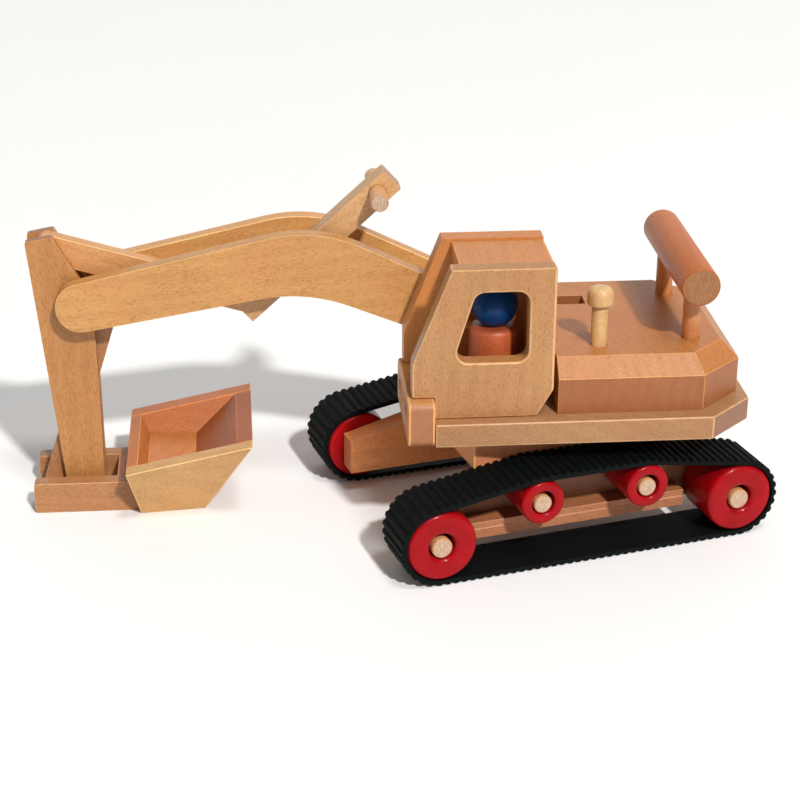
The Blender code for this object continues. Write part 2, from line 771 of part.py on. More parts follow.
def make_stick(frame):
    """Two thin boards side by side, which hang from the boom's front end."""
    foot = GROUND + 0.0012
    outline = rounded([
        (-0.2771, 0.0980, 0.0020),
        (-0.2573, foot, 0.0090),
        (-0.2313, foot, 0.0090),
        (-0.2323, 0.0540, 0.0250),
        (-0.2584, 0.1014, 0.0020),
    ])
    pivot = at(PIVOT_STICK)
    inner = ROD_HALF + GAP
    outer = inner + STICK_BOARD
    top_low = ARM_Y - outer + THIN_COVER
    top_high = ARM_Y + outer - THIN_COVER
    for place, low, high in (("near", -outer, -inner), ("far", inner, outer)):
        solid = swept_y(outline, ARM_Y + low, ARM_Y + high)
        board = piece(f"stick_board_{place}", solid, frame, BEECH, pivot)
        cut(board, [
            pin_y(PIVOT_STICK, PIN_RADIUS + RUNNING_FIT, 0.09, 0.16),
            pin_y(PIVOT_ROD_FRONT, PIN_RADIUS + GAP, top_low - GAP, top_high + GAP),
            pin_y(PIVOT_BUCKET, PIN_RADIUS + RUNNING_FIT, 0.09, 0.16),
        ])
    top_pin = pin_y(PIVOT_ROD_FRONT, PIN_RADIUS, top_low, top_high)
    piece("stick_top_dowel", top_pin, frame, DOWEL_WOOD, pivot, smooth=True)


def make_link(frame):
    """Bar from the boom to the bucket's frame, between the stick's two boards."""
    low = ARM_Y - ROD_HALF
    high = ARM_Y + ROD_HALF
    outline = bar_outline(PIVOT_LINK_TOP, PIVOT_LINK_FOOT, 0.0085, 0.0082)
    link = piece("bucket_link", swept_y(outline, low, high), frame, BEECH, at(PIVOT_LINK_FOOT))
    cut(link, [
        pin_y(PIVOT_LINK_TOP, LINK_OPEN_HOLE, low - 0.01, high + 0.01),
        pin_y(PIVOT_LINK_FOOT, SMALL_PIN_RADIUS + RUNNING_FIT, low - 0.01, high + 0.01),
    ])


# ------------------------------------------------------------------ bucket

def along(start, end, height):
    """x of the line between two (x, z) points, at a height."""
    share = (height - start[1]) / (end[1] - start[1])
    return start[0] + share * (end[0] - start[0])


def back_x(height):
    return along(BUCKET_BACK_FOOT, BUCKET_BACK_RIM, height)


def rim_z(x):
    """Height of the tilted rim above a point."""
    share = (x - BUCKET_BACK_RIM[0]) / (BUCKET_FRONT_RIM[0] - BUCKET_BACK_RIM[0])
    return BUCKET_BACK_RIM[1] + share * (BUCKET_FRONT_RIM[1] - BUCKET_BACK_RIM[1])


def half_width(x, z):
    """Half the bucket's outer width: its sides flare upward and toward the stick."""
    rise = z - GROUND
    forward = x - BUCKET_BACK_FOOT[0]
    return BUCKET_FOOT_HALF + BUCKET_FLARE_UP * rise - BUCKET_FLARE_BACK * forward


def flared(outline, start, end):
    """Solid over a side view; start and end give a y offset from the arm's plane."""
    return loft([[(x, ARM_Y + offset(x, z), z) for x, z in outline] for offset in (start, end)])


def wall_inside(x, z):
    return half_width(x, z) - SIDE_CUT - GAP


def rim_point(shift, base):
    """Where a line parallel to an end wall, moved by a shift, meets the rim."""
    x = base[0] + shift
    return (x, rim_z(x))


def make_bucket(frame):
    pivot = at(PIVOT_BUCKET)
    side_view = [BUCKET_BACK_FOOT, BUCKET_FRONT_FOOT, BUCKET_FRONT_RIM, BUCKET_BACK_RIM]
    for place, sign in (("near", -1), ("far", 1)):
        def outer(x, z):
            return sign * half_width(x, z)

        def inner(x, z):
            return sign * (half_width(x, z) - SIDE_CUT)
        piece(f"bucket_side_{place}", flared(side_view, outer, inner), frame, BEECH, pivot)

    def left(x, z):
        return -wall_inside(x, z)
    back = [
        BUCKET_BACK_FOOT,
        (FLOOR_BACK, GROUND),
        (FLOOR_BACK, FLOOR_TOP),
        rim_point(BACK_CUT, BUCKET_BACK_RIM),
        BUCKET_BACK_RIM,
    ]
    piece("bucket_back", flared(back, left, wall_inside), frame, BEECH, pivot)
    front = [
        (FLOOR_FRONT, GROUND),
        BUCKET_FRONT_FOOT,
        BUCKET_FRONT_RIM,
        rim_point(-FRONT_CUT, BUCKET_FRONT_RIM),
        (FLOOR_FRONT, FLOOR_TOP),
    ]
    piece("bucket_front", flared(front, left, wall_inside), frame, BEECH, pivot)
    floor = [
        (FLOOR_BACK + GAP, GROUND),
        (FLOOR_FRONT - GAP, GROUND),
        (FLOOR_FRONT - GAP, FLOOR_TOP),
        (FLOOR_BACK + GAP, FLOOR_TOP),
    ]
    piece("bucket_floor", flared(floor, left, wall_inside), frame, BEECH, pivot)
    make_bucket_frame(frame, pivot)


def make_bucket_frame(frame, pivot):
    """Two strips and a cross block behind the bucket, with the dowels they carry."""
    inside = STRIP_OUTER - STRIP_THICKNESS
    strip = rounded([
        (STRIP_FRONT, STRIP_TOP, 0.0030),
        (STRIP_FRONT, GROUND, 0.0030),
        (back_x(GROUND) - GAP, GROUND),
        (back_x(STRIP_TOP) - GAP, STRIP_TOP),
    ])
    pin_low = ARM_Y - STRIP_OUTER + COVER
    pin_high = ARM_Y + STRIP_OUTER - COVER
    for place, low in (("near", -STRIP_OUTER), ("far", inside)):
        solid = swept_y(strip, ARM_Y + low, ARM_Y + low + STRIP_THICKNESS)
        board = piece(f"bucket_strip_{place}", solid, frame, BEECH, pivot)
        cut(board, [
            pin_y(PIVOT_BUCKET, PIN_RADIUS + GAP, pin_low - GAP, pin_high + GAP),
            pin_y(PIVOT_LINK_FOOT, SMALL_PIN_RADIUS + GAP, pin_low - GAP, pin_high + GAP),
        ])
    cross = [
        (-0.2220, GROUND + 0.0004),
        (back_x(GROUND + 0.0004) - GAP, GROUND + 0.0004),
        (back_x(STRIP_TOP) - GAP, STRIP_TOP),
        (-0.2220, STRIP_TOP),
    ]
    solid = swept_y(cross, ARM_Y - inside + GAP, ARM_Y + inside - GAP)
    piece("bucket_cross_block", solid, frame, BEECH_DARK, pivot)
    for name, place, radius in (
        ("bucket_dowel", PIVOT_BUCKET, PIN_RADIUS),
        ("link_foot_dowel", PIVOT_LINK_FOOT, SMALL_PIN_RADIUS),
    ):
        pin = pin_y(place, radius, pin_low, pin_high)
        piece(name, pin, frame, DOWEL_WOOD, pivot, smooth=True)


# --------------------------------------------------------------- assembly

def centre_on_ground(root):
    """Moves the whole machine so that the origin is the middle of its footprint."""
    bpy.context.view_layer.update()
    spots = []
    for thing in bpy.context.scene.objects:
        if thing.type == "MESH" and not thing.hide_render:
            spots += [thing.matrix_world @ vertex.co for vertex in thing.data.vertices]
    middle_x = (min(s.x for s in spots) + max(s.x for s in spots)) / 2
    middle_y = (min(s.y for s in spots) + max(s.y for s in spots)) / 2
    root.location = (-middle_x, -middle_y, -min(s.z for s in spots))
    bpy.context.view_layer.update()


def build():
    clear_scene()
    root = empty("excavator")
    tracks = empty("undercarriage_frame", parent=root, yaw=TRACK_YAW)
    house = empty("house_frame", (-SWING_X, -SWING_Y, BASE_TOP_ABOVE_GROUND), root)
    make_undercarriage(tracks)
    make_base(house)
    make_deck(house)
    make_cab(house)
    make_front_board(house)
    make_rear_handle(house)
    make_peg(house)
    make_driver(house)
    make_mast(house)
    make_boom(house)
    make_lever(house)
    make_rod(house)
    make_stick(house)
    make_link(house)
    make_bucket(house)
    centre_on_ground(root)


build()
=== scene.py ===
"""Looks of the wooden toy excavator: beech boards, lacquered wheels, ribbed rubber belts."""
import math

import bmesh
import bpy
from mathutils import Matrix, Vector


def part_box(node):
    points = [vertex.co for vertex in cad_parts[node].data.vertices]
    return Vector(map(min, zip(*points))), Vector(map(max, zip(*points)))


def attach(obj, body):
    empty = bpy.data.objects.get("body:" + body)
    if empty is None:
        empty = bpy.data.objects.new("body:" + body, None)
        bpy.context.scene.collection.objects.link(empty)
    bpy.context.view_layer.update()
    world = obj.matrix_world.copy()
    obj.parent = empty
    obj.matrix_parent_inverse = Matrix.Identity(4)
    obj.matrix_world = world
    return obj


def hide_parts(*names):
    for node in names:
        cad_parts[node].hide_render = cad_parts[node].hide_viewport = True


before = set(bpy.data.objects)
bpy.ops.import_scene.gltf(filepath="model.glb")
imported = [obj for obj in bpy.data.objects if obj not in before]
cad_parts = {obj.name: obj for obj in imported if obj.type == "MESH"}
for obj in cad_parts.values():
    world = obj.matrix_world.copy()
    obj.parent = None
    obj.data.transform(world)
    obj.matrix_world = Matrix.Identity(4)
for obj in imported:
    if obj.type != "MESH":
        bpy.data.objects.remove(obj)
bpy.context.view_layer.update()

# Undercarriage: its tracks run along X before this turn about the swing axis
TRACK_YAW = math.radians(14.87)
SWING_AXIS = Vector((0.10031, 0.0, 0.0))
BIG_WHEEL_X = 0.1120
BIG_WHEEL_Z = 0.0292
BIG_WHEEL_RADIUS = 0.0250
SMALL_WHEEL_X = 0.0392
SMALL_WHEEL_Z = 0.0503
SMALL_WHEEL_RADIUS = 0.0158
TRACK_INNER = 0.0654
TRACK_OUTER = 0.1068

# Section of the wheels and rollers: bore, round of the rim, round of the bore's mouth
BIG_WHEEL_BORE = 0.00925
BIG_WHEEL_RIM = 0.0036
BIG_WHEEL_MOUTH = 0.0038
SMALL_WHEEL_BORE = 0.0085
SMALL_WHEEL_RIM = 0.0026
SMALL_WHEEL_MOUTH = 0.0018

# Axle dowels, from one end to the other across the tracks
WHEEL_AXLE_RADIUS = 0.00725
ROLLER_AXLE_RADIUS = 0.0065
WHEEL_AXLE_SPAN = (0.0503, 0.1056)
ROLLER_AXLE_SPAN = (-0.1056, 0.1056)
AXLE_DROP = 0.0012

# Belts, and one rib and groove as (share of the pitch, share of the rib's height)
BELT_GAP = 0.0003
BELT_THICKNESS = 0.0039
BELT_EDGE = 0.0007
BELT_INNER_EDGE = 0.0004
RIB_HEIGHT = 0.0013
RIB_PITCH = 0.0060
RIB_SECTION = (
    (0.00, 0.0), (0.22, 0.0), (0.36, 0.85), (0.44, 1.0), (0.72, 1.0), (0.80, 0.85), (0.94, 0.0),
)
SAMPLES_PER_RIB = 40

# Plugs in the front board, standing slightly proud of its face
PLUG_RADIUS = 0.0065
PLUG_PROUD = 0.0012
PLUG_DEPTH = 0.0060
PLUG_HEIGHT = 0.1033
PLUG_PLACES = {"near": -0.0750, "far": -0.0310}

# Lock peg
PEG_RADIUS = 0.00565
PEG_HEAD_RADIUS = 0.0092
PEG_HEAD_HEIGHT = 0.0130

# Peg driver
DRIVER_RADIUS = 0.0170
DRIVER_BALL_RADIUS = 0.0161

# Rounds of the board edges: most boards, then the ones that differ
EDGE_ROUND = 0.0010
CAB_ROUND = 0.0013
FRONT_ROUND = 0.0016
BOOM_ROUND = 0.0017
BLOCK_ROUND = 0.0006
HOPPER_SIDE_ROUND = 0.0008
HOPPER_END_ROUND = 0.0005
FINE_ROUND = 0.0003

# Rounds of the dowel ends
DOWEL_ROUND = 0.0006
HANDLE_ROUND = 0.0011
AXLE_ROUND = 0.0008
PLUG_ROUND = 0.0005

# Steps round turned pieces
DOWEL_SEGMENTS = 64
DRIVER_SEGMENTS = 80
WHEEL_SEGMENTS = 96

ALONG_X = (1, 0, 0)
ALONG_Y = (0, 1, 0)
ALONG_Z = (0, 0, 1)


# ---------------------------------------------------------------- node helpers

class Nodes:
    """Adds shader nodes and joins them with few words."""

    def __init__(self, name):
        self.material = bpy.data.materials.new(name)
        self.material.use_nodes = True
        self.tree = self.material.node_tree
        self.shader = self.tree.nodes["Principled BSDF"]

    def add(self, kind, **settings):
        node = self.tree.nodes.new(kind)
        for key, value in settings.items():
            setattr(node, key, value)
        return node

    def join(self, source, target):
        self.tree.links.new(source, target)

    def feed(self, node, socket, value):
        """Gives an input either a constant or another node's output."""
        if isinstance(value, bpy.types.NodeSocket):
            self.join(value, node.inputs[socket])
        else:
            node.inputs[socket].default_value = value

    def math(self, operation, first, second=0.0):
        node = self.add("ShaderNodeMath", operation=operation)
        self.feed(node, 0, first)
        self.feed(node, 1, second)
        return node.outputs[0]

    def mapping(self, scale, offset=(0, 0, 0), turn=(0, 0, 0)):
        """Object coordinates, turned first and then stretched and shifted."""
        place = self.add("ShaderNodeTexCoord")
        rotate = self.add("ShaderNodeMapping")
        self.join(place.outputs["Object"], rotate.inputs["Vector"])
        rotate.inputs["Rotation"].default_value = turn
        stretch = self.add("ShaderNodeMapping")
        self.join(rotate.outputs[0], stretch.inputs["Vector"])
        stretch.inputs["Scale"].default_value = scale
        stretch.inputs["Location"].default_value = offset
        return stretch.outputs[0]

    def noise(self, vector, scale, detail=2.0, roughness=0.5, distortion=0.0):
        node = self.add("ShaderNodeTexNoise")
        self.join(vector, node.inputs["Vector"])
        node.inputs["Scale"].default_value = scale
        node.inputs["Detail"].default_value = detail
        node.inputs["Roughness"].default_value = roughness
        node.inputs["Distortion"].default_value = distortion
        return node.outputs["Fac"]

    def wave(self, vector, scale, distortion, detail, detail_scale):
        node = self.add("ShaderNodeTexWave", wave_type="BANDS", bands_direction="DIAGONAL")
        self.join(vector, node.inputs["Vector"])
        node.inputs["Scale"].default_value = scale
        node.inputs["Distortion"].default_value = distortion
        node.inputs["Detail"].default_value = detail
        node.inputs["Detail Scale"].default_value = detail_scale
        return node.outputs["Fac"]

    def spread(self, value, low, high, to_low=0.0, to_high=1.0):
        """Stretches a span of a value to another span, clamped at its ends."""
        node = self.add("ShaderNodeMapRange")
        self.feed(node, "Value", value)
        node.inputs["From Min"].default_value = low
        node.inputs["From Max"].default_value = high
        node.inputs["To Min"].default_value = to_low
        node.inputs["To Max"].default_value = to_high
        return node.outputs[0]

    def blend(self, share, first, second, mode="MIX"):
        node = self.add("ShaderNodeMix", data_type="RGBA", blend_type=mode)
        self.feed(node, 0, share)
        self.feed(node, 6, first)
        self.feed(node, 7, second)
        return node.outputs[2]

    def bump(self, height, strength, distance):
        """Gives the shader a bumped normal."""
        node = self.add("ShaderNodeBump")
        self.join(height, node.inputs["Height"])
        node.inputs["Strength"].default_value = strength
        node.inputs["Distance"].default_value = distance
        self.join(node.outputs["Normal"], self.shader.inputs["Normal"])

    def mixed(self, *parts):
        """Sum of (value, weight) pairs."""
        total = self.math("MULTIPLY", *parts[0])
        for value, weight in parts[1:]:
            total = self.math("ADD", total, self.math("MULTIPLY", value, weight))
        return total

    def surface(self, colour, roughness, specular):
        """Joins the colour and the roughness to the shader and sets its specular level."""
        self.join(colour, self.shader.inputs["Base Color"])
        self.join(roughness, self.shader.inputs["Roughness"])
        self.shader.inputs["Specular IOR Level"].default_value = specular
        return self.material

    def coat(self, weight, roughness):
        self.shader.inputs["Coat Weight"].default_value = weight
        self.shader.inputs["Coat Roughness"].default_value = roughness


def linear(red, green, blue):
    """Shader colour from a display colour given as 0 to 255."""
    def one(value):
        value /= 255
        return value / 12.92 if value <= 0.04045 else ((value + 0.055) / 1.055) ** 2.4
    return (one(red), one(green), one(blue), 1.0)


# ------------------------------------------------------------------- materials

def grain_turn(direction):
    """Euler turn that brings a grain direction onto the texture's X axis."""
    return Vector(direction).rotation_difference(Vector((1, 0, 0))).to_euler()


def shade(tone, red, green, blue):
    """A tone made lighter or darker channel by channel."""
    return (min(1, tone[0] * red), min(1, tone[1] * green), min(1, tone[2] * blue), 1)


# What wood cut across its grain multiplies its tone by; on the base's and deck's corner chamfers the
# dark one is partly painted shade
DARK_CUT = (0.70, 0.64, 0.80, 1)
PALE_CUT = (1.0, 0.92, 0.78, 1)
BRIGHT_CUT = (1.12, 1.26, 1.36, 1)


def beech(name, direction, seed, tone, cut_shade=DARK_CUT):
    """Beech with fibre, growth streaks and ray flecks, toned where it is cut across."""
    made = Nodes(name)
    turn = grain_turn(direction)
    place = (seed * 1.37, seed * 0.71, seed * 2.13)
    even = made.mapping((1, 1, 1), place, turn)
    streak_place = made.mapping((0.10, 1, 1), place, turn)
    fibre_place = made.mapping((0.035, 1, 1), place, turn)
    fleck_place = made.mapping((0.26, 1, 1), place, turn)

    cloud = made.noise(even, 15, 3, 0.5)
    streak = made.noise(streak_place, 130, 3, 0.60, 0.25)
    fibre = made.noise(fibre_place, 1400, 3, 0.6)
    speckle = made.noise(fleck_place, 1000, 2, 0.6)
    fine = made.noise(fibre_place, 3600, 2, 0.6)
    ring = made.wave(streak_place, 55, 3.5, 2.0, 0.8)
    depth = made.mixed((cloud, 0.46), (streak, 0.40), (fibre, 0.26), (speckle, 0.62), (ring, 0.12))
    depth = made.spread(depth, 0.63, 1.23)
    colour = made.blend(depth, shade(tone, 1.17, 1.20, 1.24), shade(tone, 0.84, 0.79, 0.74))

    pink = made.spread(made.noise(even, 22, 2, 0.5), 0.42, 0.68, 0.0, 0.35)
    colour = made.blend(pink, colour, shade(tone, 1.02, 0.82, 0.80))

    # Darker where cut across the given direction: end grain, and on the base's and deck's corner
    # chamfers partly painted shade
    facing = made.add("ShaderNodeVectorMath", operation="DOT_PRODUCT")
    made.join(made.add("ShaderNodeTexCoord").outputs["Normal"], facing.inputs[0])
    facing.inputs[1].default_value = Vector(direction).normalized()
    cut = made.spread(made.math("ABSOLUTE", facing.outputs["Value"]), 0.42, 0.80)
    colour = made.blend(cut, colour, cut_shade, "MULTIPLY")

    fleck = made.spread(made.noise(fleck_place, 1450, 1, 0.4), 0.53, 0.64)
    patch = made.spread(made.noise(even, 60, 2, 0.5), 0.34, 0.60, 0.60, 1.0)
    fleck = made.math("MULTIPLY", made.math("MULTIPLY", fleck, patch), 0.48)
    colour = made.blend(fleck, colour, shade(tone, 0.58, 0.42, 0.30))

    made.bump(made.mixed((fine, 0.5), (fleck, -1.0), (fibre, 0.6)), 0.22, 0.00025)
    made.coat(0.05, 0.35)
    return made.surface(colour, made.spread(fibre, 0.3, 0.7, 0.40, 0.54), 0.50)


def end_grain(name, seed, light, dark, direction):
    """Cut end of a dowel: fine pores, faint rings and rays."""
    made = Nodes(name)
    turn = grain_turn(direction)
    place = (seed * 0.53, seed * 1.91, seed * 0.87)
    even = made.mapping((1, 1, 1), place, turn)
    stretched = made.mapping((1, 1, 0.30), place, turn)
    pores = made.noise(even, 1300, 2, 0.7)
    rays = made.noise(stretched, 800, 2, 0.5)
    tone = made.spread(made.mixed((pores, 0.6), (rays, 0.5)), 0.38, 0.78)
    made.bump(pores, 0.35, 0.0002)
    return made.surface(made.blend(tone, light, dark), made.spread(pores, 0.3, 0.7, 0.60, 0.80), 0.30)


def lacquer(name, seed, colour, deep, roughness):
    """Glossy coloured lacquer over turned wood: slight brush waves and dust specks."""
    made = Nodes(name)
    place = (seed * 1.1, seed * 0.6, seed * 1.7)
    even = made.mapping((1, 1, 1), place)
    cloud = made.noise(even, 60, 3, 0.55)
    grain = made.noise(made.mapping((1, 0.16, 1), place), 900, 2, 0.5)
    waves = made.noise(even, 240, 2, 0.5)
    tone = made.spread(made.mixed((cloud, 1.0), (grain, 0.35)), 0.45, 0.95)
    rough = made.spread(grain, 0.3, 0.7, roughness, roughness + 0.10)
    made.bump(made.mixed((waves, 1.0), (grain, 0.4)), 0.10, 0.0004)
    made.coat(0.16, 0.12)
    return made.surface(made.blend(tone, colour, deep), rough, 0.10)


def rubber(name, seed, colour, dust):
    """Matte black rubber with pale dust, scuffs and a fine moulded texture."""
    made = Nodes(name)
    place = (seed * 0.9, seed * 1.3, seed * 0.4)
    even = made.mapping((1, 1, 1), place)
    speck = made.noise(even, 1900, 3, 0.65)
    cloud = made.noise(even, 45, 3, 0.55)
    share = made.math("MULTIPLY", made.spread(cloud, 0.35, 0.75, 0.1, 0.8),
                      made.spread(speck, 0.45, 0.75))
    made.bump(speck, 0.40, 0.0003)
    return made.surface(made.blend(share, colour, dust), made.spread(speck, 0.3, 0.7, 0.62, 0.80), 0.12)


# ------------------------------------------------------- boards kept from the CAD

def soften_group():
    """Geometry nodes that shade a board's rounded edges smoothly."""
    group = bpy.data.node_groups.new("smooth_rounds", "GeometryNodeTree")
    group.interface.new_socket("Geometry", in_out="INPUT", socket_type="NodeSocketGeometry")
    group.interface.new_socket("Geometry", in_out="OUTPUT", socket_type="NodeSocketGeometry")
    start = group.nodes.new("NodeGroupInput")
    end = group.nodes.new("NodeGroupOutput")
    faces = group.nodes.new("GeometryNodeSetShadeSmooth")
    faces.domain = "FACE"
    group.links.new(start.outputs[0], faces.inputs["Geometry"])
    group.links.new(faces.outputs["Geometry"], end.inputs[0])
    return group


def ease_edges(board, width, group):
    """Joins a board's triangles into flat faces, then rounds its edges and gives them slot 1."""
    weld = board.modifiers.new("weld", "WELD")
    weld.merge_threshold = 0.00002
    flat = board.modifiers.new("flat_faces", "DECIMATE")
    flat.decimate_type = "DISSOLVE"
    flat.angle_limit = math.radians(1.0)
    bevel = board.modifiers.new("eased_edges", "BEVEL")
    bevel.width = width
    bevel.segments = 3
    bevel.limit_method = "ANGLE"
    bevel.angle_limit = math.radians(24)
    bevel.use_clamp_overlap = True
    bevel.material = 1
    smooth = board.modifiers.new("smooth_rounds", "NODES")
    smooth.node_group = group
    board.modifiers.new("weighted_normals", "WEIGHTED_NORMAL")


def dress(node, looks):
    """Puts materials on a CAD node: the one of its faces, then the one of its edges."""
    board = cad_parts[node]
    board.data.materials.clear()
    for look in looks:
        board.data.materials.append(look)
    return board


# Beech tones
CAB_TONE = linear(175, 128, 81)
CAB_INNER_TONE = linear(198, 130, 69)
ROOF_TONE = linear(198, 130, 66)
BASE_TONE = linear(166, 122, 81)
FRONT_TONE = linear(189, 133, 78)
DECK_TONE = linear(180, 117, 60)
BOOM_TONE = linear(195, 144, 84)
FAR_BOOM_TONE = linear(208, 156, 93)
STICK_TONE = linear(178, 125, 70)
LEVER_TONE = linear(202, 158, 109)
ROD_TONE = linear(206, 152, 96)
STRIP_TONE = linear(170, 119, 75)
HOPPER_TONE = linear(202, 158, 100)
INNER_TONE = linear(187, 110, 56)
HOPPER_BACK_TONE = linear(185, 111, 44)
HOPPER_FLOOR_TONE = linear(198, 125, 67)
INNER_FRONT_TONE = linear(159, 85, 38)
BLOCK_TONE = linear(181, 112, 68)
# Near beam: a darker tone as painted shade for the shadow that the belt's top run throws on it
PAINTED_SHADE_BEAM_TONE = linear(132, 84, 50)
# Far beam, undercarriage plate and turntable hub: a brightened tone, painted light on the far beam
# where the house shades it
PAINTED_LIGHT_BEAM_TONE = linear(242, 160, 98)
RAIL_TONE = linear(176, 116, 77)
DOWEL_TONE = linear(212, 160, 108)
PEG_TONE = linear(201, 164, 111)
HANDLE_TONE = linear(185, 98, 18)
POST_TONE = linear(194, 128, 75)
DRIVER_TONE = linear(189, 94, 50)

# Grain directions; the base's and the deck's are tilted off the grain so that the cut-across darkening
# also lays painted shade on their corner chamfers, and keeps off the deck's near bevel, left pale as
# painted sheen
TRACK_DIRECTION = (math.cos(TRACK_YAW), math.sin(TRACK_YAW), 0)
BASE_GRAIN_AND_SHADE_DIRECTION = (0.93, -0.36, 0)
DECK_GRAIN_AND_SHADE_DIRECTION = (-0.35, 0.85, 0.40)
STICK_DIRECTION = (0.08, 0, -1)
ROD_DIRECTION = (0.958, 0, -0.287)
LINK_DIRECTION = (0.307, 0, 0.952)
LEVER_DIRECTION = (0.739, 0, 0.673)
BOOM_DIRECTION = (0.985, 0, 0.17)
HOPPER_FLOOR_DIRECTION = (0.35, 0.94, 0)

# node: (grain direction, tone, edge round)
BOARDS = {
    "base_board": (BASE_GRAIN_AND_SHADE_DIRECTION, BASE_TONE, EDGE_ROUND),
    "deck_block": (DECK_GRAIN_AND_SHADE_DIRECTION, DECK_TONE, EDGE_ROUND),
    "cab_side_near": (ALONG_Z, CAB_TONE, CAB_ROUND),
    "cab_side_far": (ALONG_Z, CAB_INNER_TONE, CAB_ROUND),
    "cab_roof": (ALONG_Y, ROOF_TONE, EDGE_ROUND),
    "cab_back": (ALONG_Z, CAB_INNER_TONE, EDGE_ROUND),
    "front_board": (ALONG_Y, FRONT_TONE, FRONT_ROUND),
    "mast_board": (ALONG_X, DECK_TONE, EDGE_ROUND),
    "boom_plate_near": (BOOM_DIRECTION, BOOM_TONE, BOOM_ROUND),
    "boom_plate_far": (BOOM_DIRECTION, FAR_BOOM_TONE, BOOM_ROUND),
    "lever_bar": (LEVER_DIRECTION, LEVER_TONE, EDGE_ROUND),
    "connecting_rod": (ROD_DIRECTION, ROD_TONE, EDGE_ROUND),
    "stick_board_near": (STICK_DIRECTION, STICK_TONE, EDGE_ROUND),
    "stick_board_far": (STICK_DIRECTION, STICK_TONE, EDGE_ROUND),
    "bucket_link": (LINK_DIRECTION, STRIP_TONE, EDGE_ROUND),
    "bucket_strip_near": (ALONG_X, STRIP_TONE, EDGE_ROUND),
    "bucket_strip_far": (ALONG_X, STRIP_TONE, EDGE_ROUND),
    "bucket_cross_block": (ALONG_Y, BLOCK_TONE, BLOCK_ROUND),
    "bucket_side_near": (ALONG_X, HOPPER_TONE, HOPPER_SIDE_ROUND),
    "bucket_side_far": (ALONG_X, INNER_TONE, HOPPER_SIDE_ROUND),
    "bucket_back": (ALONG_Y, HOPPER_BACK_TONE, HOPPER_END_ROUND),
    "bucket_front": (ALONG_Y, INNER_FRONT_TONE, HOPPER_END_ROUND),
    "bucket_floor": (HOPPER_FLOOR_DIRECTION, HOPPER_FLOOR_TONE, FINE_ROUND),
    "beam_near": (TRACK_DIRECTION, PAINTED_SHADE_BEAM_TONE, EDGE_ROUND),
    "beam_far": (TRACK_DIRECTION, PAINTED_LIGHT_BEAM_TONE, EDGE_ROUND),
    "guide_rail_near": (TRACK_DIRECTION, RAIL_TONE, FINE_ROUND),
    "guide_rail_far": (TRACK_DIRECTION, RAIL_TONE, FINE_ROUND),
    "undercarriage_plate": (ALONG_Y, PAINTED_LIGHT_BEAM_TONE, EDGE_ROUND),
    "turntable_hub": (ALONG_X, PAINTED_LIGHT_BEAM_TONE, BLOCK_ROUND),
}


# What a board's eased edges multiply its tone by: paler for sanded wood and as a painted highlight
# along every edge
EDGE_SANDING_AND_HIGHLIGHT = (1.50, 1.72, 2.05)


def dress_boards():
    """Beech for the CAD boards, each in its own tone, with eased edges painted paler: partly sanded
    wood, partly painted highlight.
    """
    group = soften_group()
    for seed, (node, (direction, tone, width)) in enumerate(BOARDS.items(), 1):
        cut_shade = PALE_CUT if node.startswith("cab_side") else DARK_CUT
        face = beech(f"beech_{node}", direction, seed, tone, cut_shade)
        # Eased edges: a paler tone, partly sanded wood and partly a painted highlight
        edge = beech(f"beech_sanded_edge_highlight_{node}", direction, seed, shade(tone, *EDGE_SANDING_AND_HIGHLIGHT), PALE_CUT)
        ease_edges(dress(node, (face, edge)), width, group)


# -------------------------------------------------------------- turned pieces

def new_piece(name, solid, looks, smooth_angle=40):
    """Scene object from a bmesh, shaded smooth except where it turns sharply."""
    bmesh.ops.recalc_face_normals(solid, faces=solid.faces)
    mesh = bpy.data.meshes.new(name)
    solid.to_mesh(mesh)
    solid.free()
    made = bpy.data.objects.new(name, mesh)
    bpy.context.scene.collection.objects.link(made)
    for look in looks:
        mesh.materials.append(look)
    mesh.shade_smooth()
    mesh.set_sharp_from_angle(angle=math.radians(smooth_angle))
    return made


def arc(centre, radius, start, end, steps):
    """Points of an arc in a (radius, height) profile, angles in degrees."""
    angles = [math.radians(start + (end - start) * step / steps) for step in range(steps + 1)]
    return [(centre[0] + radius * math.cos(a), centre[1] + radius * math.sin(a)) for a in angles]


def turned(profile, segments, end_rows=0):
    """Solid turned about Z from (radius, height) points; its ends get material slot 1.

    A profile that starts and ends on the axis makes a solid, any other makes a ring.
    end_rows says how many of the bands next to each end count as cut ends.
    """
    solid = bmesh.new()
    angles = [math.tau * step / segments for step in range(segments)]
    rows = []
    for radius, height in profile:
        if radius == 0:
            rows.append([solid.verts.new((0, 0, height))] * segments)
            continue
        ring = [(radius * math.cos(a), radius * math.sin(a), height) for a in angles]
        rows.append([solid.verts.new(point) for point in ring])
    pairs = list(zip(rows, rows[1:]))
    if profile[0][0] > 0:
        pairs.append((rows[-1], rows[0]))
    for number, (lower, upper) in enumerate(pairs):
        for index in range(segments):
            after = (index + 1) % segments
            corners = (lower[index], lower[after], upper[after], upper[index])
            face = solid.faces.new(list(dict.fromkeys(corners)))
            if number < end_rows or number >= len(pairs) - end_rows:
                face.material_index = 1
    return solid


def dowel_profile(radius, low, high, edge):
    """Straight dowel with small rounds at both ends and each end face in two bands."""
    profile = [(0, low), (radius * 0.5, low)]
    profile += arc((radius - edge, low + edge), edge, -90, 0, 4)
    profile += arc((radius - edge, high - edge), edge, 0, 90, 4)
    profile += [(radius * 0.5, high), (0, high)]
    return profile


def lay(piece, middle, axis):
    """Places a piece that was turned about Z with its axis along a direction."""
    turn = Vector((0, 0, 1)).rotation_difference(Vector(axis)).to_matrix().to_4x4()
    piece.data.transform(Matrix.Translation(middle) @ turn)
    piece.data.update()


def take_place(piece, node, body):
    """Lets a piece stand in for a CAD node and ride on its body."""
    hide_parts(node)
    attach(piece, body)


